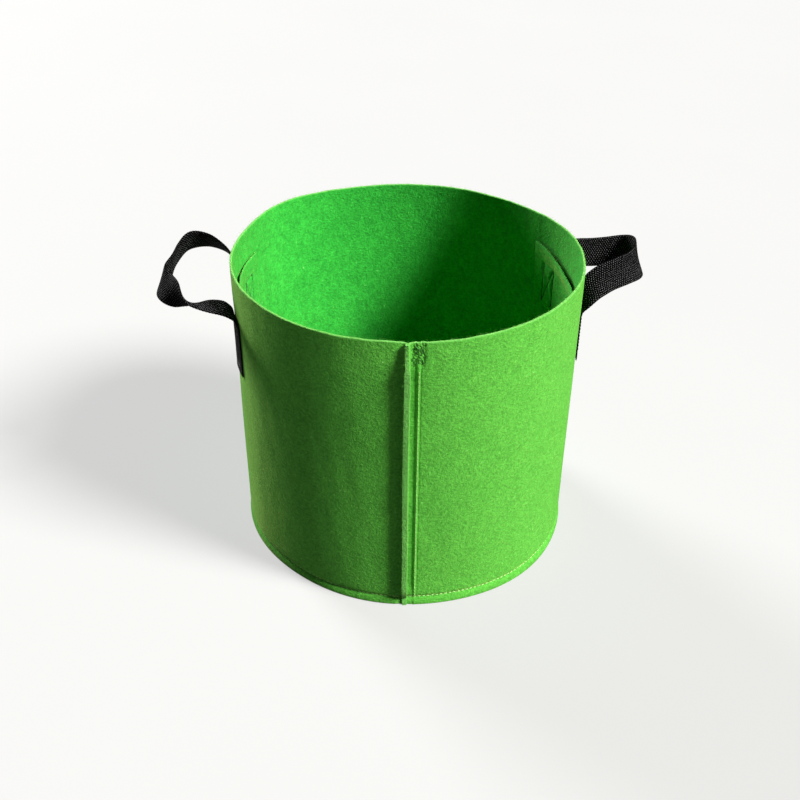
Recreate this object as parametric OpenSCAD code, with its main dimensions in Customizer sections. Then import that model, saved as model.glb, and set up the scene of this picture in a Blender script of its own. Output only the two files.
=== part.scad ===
// Round felt grow bag with two webbing handles, sewn from flat pieces.
// Origin: centre of the base, on the floor. +Z up, side seam towards -Y.

/* [Bag] */
// Outside diameter of the wall
bag_d = 300; // [240:5:400]
// Height of the wall, from the floor to its cut rim
bag_h = 264; // [200:1:360]
// Thickness of the felt
felt_t = 2.2; // [1.6:0.1:3]

/* [Side seam] */
// How far the sewn flap stands out of the wall
flap_out = 7; // [4:0.5:10]
// How far the flap still stands out where the base seam pinches it
flap_pinched = 2; // [1:0.5:3]
// Distance of the seam's stitch line from the wall
seam_stitch_out = 3; // [2:0.5:3.5]
// Length of the bar tack under the rim
tack_len = 21; // [12:1:30]

/* [Base seam] */
// Height of the skirt where the base's edge hangs inside the wall's
skirt_h = 9; // [6:0.5:14]
// Height of the base seam's stitch line
base_stitch_h = 6.5; // [4:0.5:8]
// Width over which the base slopes down to the floor
slope_w = 18; // [12:1:30]

/* [Handles] */
// Width of the webbing
strap_w = 25; // [20:1:32]
// Thickness of the webbing
strap_t = 1.6; // [1.2:0.1:2.4]
// Distance between the middles of a strap's two sewn ends
strap_spacing = 80; // [64:1:100]
// Distance from the rim down to the top of the sewn ends
sewn_drop = 38; // [34:1:60]
// Length of each sewn end
sewn_len = 52; // [40:1:70]
// How far the fold of the strap stands off the sewn end
fold_out = 8; // [6:0.5:12]
// How far the fold of the strap lies above the sewn end
fold_up = 9; // [6:0.5:12]
// How far the left loop stands out from its fold
left_reach = 55; // [50:1:70]
// How far the right loop stands out from its fold
right_reach = 55; // [50:1:70]
// Turn of the left handle from the side seam, in degrees
left_turn = 87; // [80:1:100]
// Turn of the right handle from the side seam, in degrees
right_turn = 100; // [80:1:100]

/* [Inner patches] */
// Width of the felt patch behind each handle, along the wall
patch_w = 123; // [112:1:150]
// Height of the patch
patch_h = 60; // [58:1:80]
// Distance from the rim down to the patch
patch_drop = 25; // [15:1:32]

/* [Stitching] */
// Width of a row of stitches
thread_w = 0.8; // [0.6:0.1:1.2]
// How far the thread stands proud of the cloth
thread_t = 0.5; // [0.3:0.1:0.8]
// Width of a stitched box on a strap end
box_w = 17; // [14:1:19]
// Height of a stitched box on a strap end
box_h = 44; // [34:1:48]

/* [Hidden] */

layer_gap = 0.1;      // between two layers of cloth that lie on each other
fold_gap = 1.8;       // from the fold's axis to the cloth on each side of it
join = 0.5;           // how far one shape runs into the shape that it is fused to
arc_fn = 180;

wall_r = bag_d / 2;
wall_inner_r = wall_r - felt_t;
skirt_r = wall_inner_r - layer_gap;
skirt_inner_r = skirt_r - felt_t;
base_flat_r = skirt_inner_r - slope_w;
patch_r = wall_inner_r - layer_gap;
patch_inner_r = patch_r - felt_t;
strap_r = wall_r + layer_gap;
strap_outer_r = strap_r + strap_t;
strap_mid_r = strap_r + strap_t / 2;

sewn_top = bag_h - sewn_drop;
sewn_bottom = sewn_top - sewn_len;
half_spacing = strap_spacing / 2;
end_angle = asin(half_spacing / strap_mid_r);
fold_x = strap_mid_r * cos(end_angle) + fold_out;
fold_z = sewn_top + fold_up;
flap_taper = 14;
flap_half_w = felt_t;
tack_bottom = bag_h - tack_len;
tack_margin = 2;
box_bottom = sewn_top - (sewn_len - box_h) / 2 - box_h;

felt = "limegreen";
webbing = "#1c1c1e";
thread = "darkgreen";

// A loop's route in its own measures, from the front fold to the rear fold.
// Each row: share of the reach, share of half the spacing, share of the reach upwards, and the
// turn of the webbing: 0 or 180 lies flat, 90 stands on edge.
LEFT_ROUTE = [
    [0, -1, 0, 0], [0.2, -1, 0.02, 0], [0.42, -0.97, 0.06, 10], [0.62, -0.86, 0.1, 45],
    [0.84, -0.62, 0.11, 95], [0.97, -0.3, 0.11, 108], [0.99, 0, 0.12, 100], [0.93, 0.35, 0.17, 86],
    [0.8, 0.75, 0.24, 92], [0.64, 0.98, 0.25, 115], [0.46, 1.06, 0.15, 145], [0.25, 1.03, 0.03, 174],
    [0, 1, 0, 180]
];
RIGHT_ROUTE = [
    [0, -1, 0, 180], [0.15, -0.98, 0.02, 172], [0.35, -0.82, 0.06, 150], [0.6, -0.52, 0.1, 138],
    [0.84, -0.18, 0.15, 132], [1, 0.12, 0.15, 118], [1.01, 0.4, 0.14, 98], [0.88, 0.68, 0.1, 76],
    [0.64, 0.84, 0.05, 58], [0.4, 0.94, 0.02, 32], [0.2, 0.99, 0, 8], [0, 1, 0, 0]
];
ROUTE_STEPS = 6;
CORNERS = 4;

function unit(v) = v / norm(v);
function before(c, i) = i > 0 ? c[i - 1] : 2 * c[0] - c[1];
function after(c, i) = i + 2 < len(c) ? c[i + 2] : 2 * c[len(c) - 1] - c[len(c) - 2];

// A smooth curve through rows i and i + 1 of c, with t from 0 to 1 between them
function between(c, i, t) =
    let (a = before(c, i), b = c[i], d = c[i + 1], e = after(c, i))
    0.5 * (2 * b + (d - a) * t + (2 * a - 5 * b + 4 * d - e) * t * t
        + (3 * b - a - 3 * d + e) * t * t * t);
function smooth(c) = concat(
    [for (i = [0 : len(c) - 2], k = [0 : ROUTE_STEPS - 1]) between(c, i, k / ROUTE_STEPS)],
    [c[len(c) - 1]]
);

// A route's rows as points that start fold_gap outside the fold's axis
function route_point(row, reach) = [
    fold_x + fold_gap + row[0] * (reach - fold_gap), row[1] * half_spacing, fold_z + row[2] * reach
];
function heading(points, i) =
    unit(points[min(i + 1, len(points) - 1)] - points[max(i - 1, 0)]);
function across(head, turn) =
    let (side = unit(cross(head, [0, 0, 1])))
    cos(turn) * side + sin(turn) * cross(side, head);

// The four corners of webbing that lies along across_dir and runs along head
function webbing_ring(p, across_dir, head) =
    let (w = across_dir * strap_w / 2, n = cross(head, across_dir) * strap_t / 2)
    [p + w + n, p - w + n, p - w - n, p + w - n];

// The two broad faces are split along the same diagonal, so twisted webbing keeps its thickness
function side_faces(k) = [
    for (j = [0 : CORNERS - 1])
    let (
        a = k * CORNERS + j,
        b = k * CORNERS + (j + 1) % CORNERS,
        c = a + CORNERS,
        d = b + CORNERS
    )
    each j < CORNERS / 2 ? [[a, d, b], [a, c, d]] : [[a, c, b], [b, c, d]]
];

// Webbing swept through a list of four-cornered rings
module swept(rings) {
    last = (len(rings) - 1) * CORNERS;
    polyhedron(
        points = [for (r = rings) each r],
        faces = concat(
            [[0, 1, 2], [0, 2, 3]],
            [for (k = [0 : len(rings) - 2]) each side_faces(k)],
            [[last, last + 2, last + 1], [last, last + 3, last + 2]]
        )
    );
}

// Part of a ring about the bag's axis, centred on +X
module arc_slab(r_inner, r_outer, angle, low, high) {
    rotate([0, 0, -angle / 2])
        rotate_extrude(angle = angle, $fn = arc_fn)
            translate([r_inner, low]) square([r_outer - r_inner, high - low]);
}

function arc_angle(length, r) = length / r * 180 / PI;

// Puts a right-hand shape at its place: +X outwards, +Y from the front to the rear
module at_right() rotate([0, 0, right_turn - 90]) children();
module at_left() rotate([0, 0, -left_turn - 90]) mirror([0, 1, 0]) children();

module flap() {
    mirror([0, 1, 0])
        rotate([90, 0, 90])
            translate([0, 0, -flap_half_w])
                linear_extrude(2 * flap_half_w)
                    polygon([
                        [wall_r - join, 0],
                        [wall_r + flap_pinched, 0],
                        [wall_r + flap_pinched, skirt_h],
                        [wall_r + flap_out, skirt_h + flap_taper],
                        [wall_r + flap_out, bag_h],
                        [wall_r - join, bag_h]
                    ]);
}

module wall_panel() color(felt) {
    difference() {
        cylinder(r = wall_r, h = bag_h, $fn = arc_fn);
        translate([0, 0, -1]) cylinder(r = wall_inner_r, h = bag_h + 2, $fn = arc_fn);
    }
    flap();
}

// The base lies on the floor, climbs to the seam and hangs down inside the wall
module base_panel() color(felt) {
    rotate_extrude($fn = arc_fn)
        polygon([
            [0, 0],
            [base_flat_r, 0],
            [skirt_inner_r - felt_t, skirt_h],
            [skirt_inner_r, skirt_h],
            [skirt_inner_r, 0],
            [skirt_r, 0],
            [skirt_r, skirt_h + felt_t],
            [skirt_inner_r - felt_t, skirt_h + felt_t],
            [base_flat_r, felt_t],
            [0, felt_t]
        ]);
}

// A row of stitches on each face of the flap
module flap_rows(row_w, low, high) {
    for (side = [-1, 1])
        translate([
            side * (flap_half_w + thread_t / 2),
            -wall_r - seam_stitch_out,
            (low + high) / 2
        ])
            cube([thread_t, row_w, high - low], center = true);
}

module side_seam_thread() color(thread)
    flap_rows(thread_w, skirt_h + flap_taper, tack_bottom - join);

module rim_bar_tack() color(thread)
    flap_rows(3 * thread_w, tack_bottom, bag_h - tack_margin);

// The outer row stops at the flap, the inner row is on the skirt
module base_seam_thread() color(thread) {
    low = base_stitch_h - thread_w / 2;
    flap_angle = arc_angle(2 * (flap_half_w + 1), wall_r);
    rotate([0, 0, 90])
        arc_slab(wall_r, wall_r + thread_t, 360 - flap_angle, low, low + thread_w);
    difference() {
        translate([0, 0, low]) cylinder(r = skirt_inner_r, h = thread_w, $fn = arc_fn);
        translate([0, 0, low - 1])
            cylinder(r = skirt_inner_r - thread_t, h = thread_w + 2, $fn = arc_fn);
    }
}

module inner_patch() color(felt) {
    high = bag_h - patch_drop;
    arc_slab(patch_inner_r, patch_r, arc_angle(patch_w, patch_r), high - patch_h, high);
}

// A sewn end lies on the wall, then bends outwards to the fold. side: -1 front, 1 rear
module strap_end(side) color(webbing) {
    bend_rings = 4;
    radial = [cos(end_angle), side * sin(end_angle), 0];
    foot = [strap_mid_r * cos(end_angle), side * half_spacing, sewn_top - join];
    tip = [fold_x - fold_gap * cos(45), side * half_spacing, fold_z - fold_gap * sin(45)];
    rotate([0, 0, side * end_angle])
        arc_slab(strap_r, strap_outer_r, arc_angle(strap_w, strap_mid_r), sewn_bottom, sewn_top);
    swept([
        for (k = [0 : bend_rings])
        let (
            t = k / bend_rings,
            lean = 45 * t,
            yaw = side * end_angle * (1 - t),
            head = [sin(lean) * cos(yaw), sin(lean) * sin(yaw), cos(lean)],
            p = foot + (tip - foot) * t - radial * sin(180 * t)
        )
        webbing_ring(p, [-sin(yaw), cos(yaw), 0], head)
    ]);
}

module handle_loop(route, reach) color(webbing) {
    rows = smooth(route);
    points = [for (row = rows) route_point(row, reach)];
    swept([
        for (i = [0 : len(rows) - 1])
        let (head = heading(points, i))
        webbing_ring(points[i], across(head, rows[i][3]), head)
    ]);
}

// A box with a cross in it, drawn flat and centred
module box_and_cross() {
    difference() {
        square([box_w, box_h], center = true);
        square([box_w - 2 * thread_w, box_h - 2 * thread_w], center = true);
    }
    for (side = [-1, 1])
        rotate(side * atan2(box_w, box_h))
            square([thread_w, norm([box_w, box_h]) - 2 * thread_w], center = true);
}

// The boxes show on both ends of the strap and, inside the bag, on the patch
module handle_stitching() color(thread)
    for (side = [-1, 1])
        rotate([0, 0, side * end_angle])
            intersection() {
                translate([0, 0, box_bottom + box_h / 2])
                    rotate([90, 0, 90])
                        linear_extrude(2 * wall_r) box_and_cross();
                union() {
                    thread_shell(strap_outer_r, strap_outer_r + thread_t);
                    thread_shell(patch_inner_r - thread_t, patch_inner_r);
                }
            }

module thread_shell(r_inner, r_outer) {
    arc_slab(r_inner, r_outer, arc_angle(strap_w, r_inner), sewn_bottom, sewn_top);
}

wall_panel();
base_panel();
side_seam_thread();
rim_bar_tack();
base_seam_thread();
at_left() inner_patch();  // left_inner_patch
at_right() inner_patch();  // right_inner_patch
at_left() strap_end(-1);  // left_front_strap_end
at_left() strap_end(1);  // left_rear_strap_end
at_left() handle_loop(LEFT_ROUTE, left_reach);  // left_handle_loop
at_left() handle_stitching();  // left_handle_stitching
at_right() strap_end(-1);  // right_front_strap_end
at_right() strap_end(1);  // right_rear_strap_end
at_right() handle_loop(RIGHT_ROUTE, right_reach);  // right_handle_loop
at_right() handle_stitching();  // right_handle_stitching
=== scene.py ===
"""Fabric grow bag: felt wall, base and patches, webbing handles, thread, studio and camera."""

import math

import bpy
import numpy as np
from mathutils import Matrix, Vector


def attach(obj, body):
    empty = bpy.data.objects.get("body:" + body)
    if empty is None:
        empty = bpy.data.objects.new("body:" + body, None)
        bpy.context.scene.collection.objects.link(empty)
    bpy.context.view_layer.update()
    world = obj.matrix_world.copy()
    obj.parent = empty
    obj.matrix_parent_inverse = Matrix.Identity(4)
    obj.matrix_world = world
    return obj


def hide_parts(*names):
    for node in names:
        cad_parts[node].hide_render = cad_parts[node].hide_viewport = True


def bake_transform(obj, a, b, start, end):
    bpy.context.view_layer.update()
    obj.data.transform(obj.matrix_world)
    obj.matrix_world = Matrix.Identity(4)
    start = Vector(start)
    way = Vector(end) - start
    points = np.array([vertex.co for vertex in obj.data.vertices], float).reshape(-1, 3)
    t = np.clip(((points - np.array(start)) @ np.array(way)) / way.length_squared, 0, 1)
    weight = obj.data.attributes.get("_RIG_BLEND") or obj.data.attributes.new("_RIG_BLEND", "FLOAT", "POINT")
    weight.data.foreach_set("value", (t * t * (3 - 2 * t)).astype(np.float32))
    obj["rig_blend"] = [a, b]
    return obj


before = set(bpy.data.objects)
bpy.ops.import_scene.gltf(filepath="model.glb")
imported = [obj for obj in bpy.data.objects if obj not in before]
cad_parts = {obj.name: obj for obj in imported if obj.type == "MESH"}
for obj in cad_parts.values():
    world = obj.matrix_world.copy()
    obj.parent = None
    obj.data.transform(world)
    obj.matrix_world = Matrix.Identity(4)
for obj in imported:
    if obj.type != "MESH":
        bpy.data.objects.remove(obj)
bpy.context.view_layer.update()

# ---------------------------------------------------------------- sizes, in millimetres and degrees
WALL_R = 150.0
HEIGHT = 264.0
FELT = 2.2
LAYER_GAP = 0.12
WEB_WIDTH = 25.0
WEB_THICK = 1.6
HALF_SPACING = 40.0
SEWN_BOTTOM = 174.0
SEWN_TOP = 226.0
BOX_WIDTH = 17.0
BOX_LOW = 182.0
BOX_HIGH = 222.0
BOX_MIDDLE = 202.0
BOX_PITCH = 3.3
STITCH_LINE = 8.0
SEAM_PITCH = 3.9
PATCH_LOW = 178.5
PATCH_HIGH = 238.6
PATCH_REACH = 23.6
RIB_RISE = 0.12
RIB_PITCH = 2.2
FOLD_HEIGHT = 235.0
BLEND_FROM = 150.5
BLEND_TO = 215.0
LEFT_TURN = -87.0
RIGHT_TURN = 100.0
UP = np.array([0.0, 0.0, 1.0])


# ---------------------------------------------------------------- small shape helpers
def ease(low, high, x):
    """0 below low, 1 above high, smooth between."""
    t = np.clip((np.asarray(x, float) - low) / (high - low), 0, 1)
    return t * t * (3 - 2 * t)


def hump(x, middle, width):
    """A smooth bump of height 1."""
    return np.exp(-(((np.asarray(x, float) - middle) / width) ** 2))


def turn_between(a, b):
    """Angle from b to a in degrees, from -180 to 180."""
    return (np.asarray(a, float) - b + 180) % 360 - 180


class Ripples:
    """Soft unevenness of cloth round the bag: a fixed sum of waves in azimuth and height."""

    def __init__(self, seed, lowest, highest, rise, count):
        rng = np.random.default_rng(seed)
        self.around = rng.integers(lowest, highest + 1, count)
        self.up = rng.uniform(-1, 1, count) * rise
        self.phase = rng.uniform(0, 2 * math.pi, count)
        self.size = rng.uniform(0.4, 1.0, count)
        self.size /= self.size.sum()

    def __call__(self, azimuth, z):
        a = np.radians(np.asarray(azimuth, float))[..., None]
        h = np.asarray(z, float)[..., None]
        return (self.size * np.sin(self.around * a + self.up * h + self.phase)).sum(-1)


slow_ripple = Ripples(3, 2, 5, 0.012, 7)
broad_ripple = Ripples(11, 7, 16, 0.035, 14)
fine_ripple = Ripples(23, 24, 60, 0.12, 26)
rim_ripple = Ripples(31, 5, 40, 0.0, 18)


def wall_offset(azimuth, z):
    """How far the wall stands outside or inside its true cylinder."""
    azimuth, z = np.broadcast_arrays(np.asarray(azimuth, float), np.asarray(z, float))
    high = ease(120, HEIGHT, z)
    low = np.exp(-z / 45.0)
    offset = 0.9 * slow_ripple(azimuth, z) + 0.8 * broad_ripple(azimuth, z)
    offset += 0.35 * fine_ripple(azimuth, z)
    offset *= ease(0, 25, z)
    for rise, middle, width, share in ((6.5, -134, 19, high**1.6), (-3.0, 138, 20, high),
                                       (2.6, 43, 24, low), (-1.9, -42, 22, low)):
        offset += rise * hump(turn_between(azimuth, middle), 0, width) * share
    offset -= 1.3 * hump(z, STITCH_LINE, 1.6)
    offset += 1.0 * (1 - ease(1.5, STITCH_LINE - 0.5, z))
    for turn in (LEFT_TURN, RIGHT_TURN):
        near = hump(turn_between(azimuth, turn), 0, 24) * hump(z, BOX_MIDDLE, 32)
        offset -= 0.7 * near
    return offset


def rim_rise(azimuth):
    """How much higher or lower the hand-cut rim is than the nominal height."""
    return 0.7 * rim_ripple(azimuth, 0.0) - 0.7 * hump(turn_between(azimuth, 0.3), 0, 3.6)


def at_azimuth(azimuth, radius, z):
    """Points in the row frame; azimuth 0 is -Y and +90 is +X."""
    a = np.radians(azimuth)
    return np.stack(np.broadcast_arrays(radius * np.sin(a), -radius * np.cos(a), z), -1)


def in_scene(name, data):
    """A new object in the scene."""
    thing = bpy.data.objects.new(name, data)
    bpy.context.scene.collection.objects.link(thing)
    return thing


def new_piece(name, points, faces, material, smooth=True):
    """A mesh object from points in millimetres, in its place in the row frame."""
    mesh = bpy.data.meshes.new(name)
    mesh.from_pydata((np.asarray(points) * 0.001).tolist(), [], faces)
    mesh.validate()
    mesh.materials.append(material)
    mesh.polygons.foreach_set("use_smooth", [smooth] * len(mesh.polygons))
    return in_scene(name, mesh)


def face_outwards(points, faces):
    """The same faces, all turned over if the closed shell they make is inside out."""
    p = np.asarray(points)
    volume = 0.0
    for f in faces:
        a = p[f[0]]
        for k in range(1, len(f) - 1):
            volume += np.dot(a, np.cross(p[f[k]], p[f[k + 1]]))
    return faces if volume > 0 else [f[::-1] for f in faces]


def point_values(piece, name, values):
    """Stores one number for each vertex, for materials to read."""
    layer = piece.data.attributes.new(name, "FLOAT", "POINT")
    layer.data.foreach_set("value", np.asarray(values, np.float32))


def smooth_curve(rows, steps):
    """Catmull-Rom curve through the rows."""
    c = np.array(rows, float)
    c = np.vstack([2 * c[0] - c[1], c, 2 * c[-1] - c[-2]])
    t = (np.arange(steps) / steps)[:, None]
    out = []
    for a, b, d, e in zip(c[:-3], c[1:-2], c[2:-1], c[3:]):
        out.append(
            0.5 * (2 * b + (d - a) * t + (2 * a - 5 * b + 4 * d - e) * t**2
                   + (3 * b - a - 3 * d + e) * t**3)
        )
    return np.vstack(out + [c[-2:-1]])


def evenly(points, spacing, *others):
    """Points resampled at an even spacing along their line, and other rows with them."""
    run = np.concatenate([[0], np.cumsum(np.linalg.norm(np.diff(points, axis=0), axis=1))])
    count = max(2, int(round(run[-1] / spacing)) + 1)
    at = np.linspace(0, run[-1], count)

    def pick(rows):
        return np.stack([np.interp(at, run, rows[:, k]) for k in range(rows.shape[1])], -1)

    return [at, pick(points)] + [pick(o) for o in others]


def unit(v):
    return v / np.maximum(np.linalg.norm(v, axis=-1, keepdims=True), 1e-9)


# ---------------------------------------------------------------- materials
class Shader:
    """A node material built up a node at a time."""

    def __init__(self, name, roughness, sheen=0.0, sheen_roughness=0.5, specular=0.3,
                 sheen_tint=(1.0, 1.0, 1.0)):
        self.material = bpy.data.materials.new(name)
        self.material.use_nodes = True
        self.tree = self.material.node_tree
        self.surface = self.tree.nodes["Principled BSDF"]
        self.surface.inputs["Roughness"].default_value = roughness
        self.surface.inputs["Sheen Weight"].default_value = sheen
        self.surface.inputs["Sheen Roughness"].default_value = sheen_roughness
        self.surface.inputs["Specular IOR Level"].default_value = specular
        self.surface.inputs["Sheen Tint"].default_value = (*sheen_tint, 1.0)

    def node(self, kind, **settings):
        node = self.tree.nodes.new(kind)
        for key, value in settings.items():
            if key in node.inputs:
                node.inputs[key].default_value = value
            else:
                setattr(node, key, value)
        return node

    def link(self, output, target):
        self.tree.links.new(output, target)

    def place(self, uv=False):
        return self.node("ShaderNodeTexCoord").outputs["UV" if uv else "Object"]

    def noise(self, place, scale, detail=2.0, roughness=0.5, stretch=None):
        if stretch is not None:
            mapping = self.node("ShaderNodeMapping")
            mapping.inputs["Scale"].default_value = stretch
            self.link(place, mapping.inputs["Vector"])
            place = mapping.outputs[0]
        noise = self.node("ShaderNodeTexNoise", Scale=scale, Detail=detail, Roughness=roughness)
        self.link(place, noise.inputs["Vector"])
        return noise.outputs["Fac"]

    def spread(self, value, low, high, to_low=0.0, to_high=1.0):
        node = self.node("ShaderNodeMapRange")
        for name, number in zip(("From Min", "From Max", "To Min", "To Max"),
                                (low, high, to_low, to_high)):
            node.inputs[name].default_value = number
        self.link(value, node.inputs["Value"])
        return node.outputs["Result"]

    def put(self, socket, value):
        """Gives an input a number or a colour, or links an output to it."""
        if isinstance(value, bpy.types.NodeSocket):
            self.link(value, socket)
        elif value is not None:
            socket.default_value = (*value, 1.0) if isinstance(value, tuple) else value

    def math(self, operation, a, b=None):
        node = self.node("ShaderNodeMath", operation=operation)
        self.put(node.inputs[0], a)
        self.put(node.inputs[1], b)
        return node.outputs[0]

    def blend(self, amount, first, second, kind="MIX"):
        node = self.node("ShaderNodeMix", data_type="RGBA", blend_type=kind)
        for index, value in ((0, amount), (6, first), (7, second)):
            self.put(node.inputs[index], value)
        return node.outputs[2]

    def value_of(self, name):
        return self.node("ShaderNodeAttribute", attribute_name=name).outputs["Fac"]

    def relief(self, height, distance, strength=1.0, under=None):
        node = self.node("ShaderNodeBump", Strength=strength, Distance=distance)
        self.link(height, node.inputs["Height"])
        if under is not None:
            self.link(under, node.inputs["Normal"])
        return node.outputs[0]

    def finish(self, colour, normal=None):
        self.link(colour, self.surface.inputs["Base Color"])
        if normal is not None:
            self.link(normal, self.surface.inputs["Normal"])
        return self.material


def felt_material():
    """Needle-punched felt of matted fibres: soft mottling, a little lint and paler cut edges; its hollows
    are darkened with painted shade mixed with the felt's own uneven fibre tone, and its raised fibres carry
    painted highlights.
    """
    s = Shader("needle_felt", roughness=0.92, sheen=0.3, sheen_roughness=0.3, specular=0.12,
               sheen_tint=(0.85, 0.9, 0.25))
    place = s.place()
    cloud = s.noise(place, 38.0, 3.0, 0.55)
    blotch = s.noise(place, 150.0, 2.0, 0.5)
    mat = s.noise(place, 420.0, 3.0, 0.6)
    fibre = s.noise(place, 1000.0, 2.0, 0.65)
    across = s.noise(place, 300.0, 2.0, 0.6, stretch=(1.0, 1.0, 3.2))
    tone = s.math("ADD", s.math("MULTIPLY", cloud, 0.4), s.math("MULTIPLY", blotch, 0.6))
    outside = s.blend(s.spread(tone, 0.3, 0.7), (0.076, 0.36, 0.038), (0.100, 0.42, 0.048))
    inside = s.blend(s.spread(tone, 0.32, 0.68), (0.021, 0.31, 0.030), (0.036, 0.43, 0.044))
    colour = s.blend(s.value_of("inside"), outside, inside)
    shade = s.math("ADD", s.math("MULTIPLY", mat, 0.6), s.math("MULTIPLY", across, 0.4))
    # Painted shade: darker where the bump's height noise is low, in its hollows, partly the felt's own
    # uneven fibre tone.
    hollow_shade = s.spread(shade, 0.40, 0.60, 0.6, 0.0)
    colour = s.blend(hollow_shade, colour, (0.42, 0.5, 0.42), "MULTIPLY")
    # Painted highlight: lighter where the fine fibre bump stands highest.
    fibre_highlight = s.spread(fibre, 0.54, 0.74, 0.0, 0.6)
    colour = s.blend(fibre_highlight, colour, (1.85, 1.6, 1.8), "MULTIPLY")
    lint = s.spread(s.noise(place, 420.0, 1.0, 0.4), 0.77, 0.80)
    colour = s.blend(s.math("MULTIPLY", lint, 0.35), colour, (0.40, 0.72, 0.28))
    cut = s.math("MULTIPLY", s.value_of("cut"), s.spread(mat, 0.3, 0.62, 0.45, 0.95))
    colour = s.blend(cut, colour, (0.14, 0.41, 0.088))
    under = s.relief(cloud, 0.0016, 0.35)
    under = s.relief(shade, 0.0015, 0.8, under)
    return s.finish(colour, s.relief(fibre, 0.0006, 0.8, under))


def webbing_material():
    """Black polypropylene webbing: picks and ends cross in a plain weave."""
    s = Shader("black_webbing", roughness=0.6, specular=0.04)
    place = s.place(uv=True)
    parts = s.node("ShaderNodeSeparateXYZ")
    s.link(place, parts.inputs[0])
    ends = s.math("MULTIPLY", parts.outputs["X"], 14 * math.pi)
    picks = s.math("MULTIPLY", parts.outputs["Y"], 4 * math.pi)
    weave = s.math("MULTIPLY", s.math("SINE", ends), s.math("SINE", picks))
    strand = s.noise(place, 9.0, 2.0, 0.6, stretch=(34.0, 1.0, 1.0))
    # Painted highlight: the base colour is lighter on the weave's raised crossings, and painted glints
    # brighten them where the strand noise peaks.
    colour = s.blend(s.spread(weave, 0.35, 1.0), (0.0004, 0.0004, 0.0005),
                     (0.0016, 0.0016, 0.0018))
    glint = s.math("MULTIPLY", s.spread(weave, 0.5, 0.9), s.spread(strand, 0.45, 0.62))
    colour = s.blend(s.math("MULTIPLY", glint, 0.9), colour, (0.28, 0.28, 0.29))
    under = s.relief(weave, 0.0006, 0.9)
    return s.finish(colour, s.relief(strand, 0.0002, 0.5, under))


def thread_material(name, dark, light):
    """Twisted sewing thread."""
    s = Shader(name, roughness=0.55, sheen=0.1, sheen_roughness=0.4, specular=0.4)
    place = s.place()
    ply = s.noise(place, 2600.0, 1.0, 0.5, stretch=(1.0, 1.0, 2.5))
    tone = s.noise(place, 120.0, 2.0, 0.5)
    colour = s.blend(s.spread(ply, 0.35, 0.65), dark, light)
    colour = s.blend(s.spread(tone, 0.45, 0.7, 0.0, 0.3), colour, dark)
    return s.finish(colour, s.relief(ply, 0.0002, 0.5))


felt = felt_material()
webbing = webbing_material()
seam_thread = thread_material("green_thread", (0.18, 0.40, 0.08), (0.42, 0.70, 0.24))
# Painted shade: a far darker green than the thread itself, standing for the shade in the dents that these
# stitches sink into.
shade_darkened_thread = thread_material("shade_darkened_green_thread", (0.015, 0.11, 0.012), (0.05, 0.26, 0.03))
black_thread = thread_material("black_thread", (0.006, 0.012, 0.007), (0.03, 0.04, 0.03))


# ---------------------------------------------------------------- the felt wall
def wall_heights():
    """Rows of the wall, close together at the stitch line, the bar tack and both cut edges."""
    low = [0, 0.35, 0.9, 1.8, 3.0, 4.4, 5.6, 6.6, 7.3, 8.0, 8.7, 9.5, 10.6, 12.2, 14.5, 17.5,
           21, 25]
    middle = list(np.arange(29.0, 242.0, 4.0))
    top = list(np.arange(243.0, 262.6, 1.15)) + [263.0, 263.45, 263.8, 264.0]
    return np.array(low + middle + top)


def flap_reach(z):
    """How far the sewn flap stands out of the wall at each height."""
    return 0.5 + 5.9 * ease(3, 20, z) - 3.6 * ease(238, 263, z)


def beside_seam(x, z):
    """Relief of the wall just beside the flap, x measured from the seam."""
    body = ease(10, 26, z) * (1 - ease(240, 246, z))
    valley = ease(1.0, 2.0, x) * (1 - ease(6.4, 8.0, x))
    relief = -0.85 * valley * (0.35 + 0.65 * body)
    relief += 0.55 * hump(x, 8.5, 0.75) * (0.4 + 0.6 * body)
    relief -= 0.35 * hump(x, 9.9, 0.9) * body
    relief -= 0.6 * hump(x, -4.5, 2.6)
    tack = ease(241, 245, z) * ease(2.2, 3.4, x) * (1 - ease(12.0, 14.5, x))
    dimple = np.sin(2.05 * x + 1.1 * np.sin(z * 0.9)) * np.sin(1.25 * z + 0.8 * x)
    relief += tack * (0.8 * dimple - 0.9)
    return relief


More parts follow.
